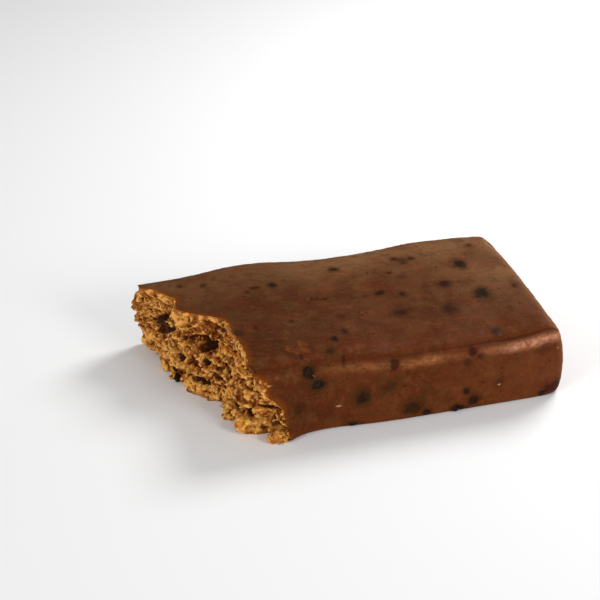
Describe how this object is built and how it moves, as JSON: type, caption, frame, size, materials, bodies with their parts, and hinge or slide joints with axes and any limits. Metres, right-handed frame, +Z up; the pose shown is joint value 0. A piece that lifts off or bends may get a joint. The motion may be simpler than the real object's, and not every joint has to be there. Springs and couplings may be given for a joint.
{
  "type": "protein bar",
  "caption": "Soft, rounded protein bar broken across: smooth skin on the long sides and the intact end, a craggy crumb face where it was broken.",
  "frame": {"origin": "on the surface the bar lies on, under the middle of its bounding box", "axes": "+X along the length towards the intact end, so the broken face is at -X; +Y across the width, away from the long side that the picture shows; +Z up through the thickness"},
  "size_m": [0.07, 0.0378, 0.0152],
  "materials": {
    "dough": "soft, slightly waxy brown dough skin with dark fruit bits, golden-brown crumb where it is broken"
  },
  "bodies": {
    "root": {"bar": "dough"}
  },
  "joints": []
}
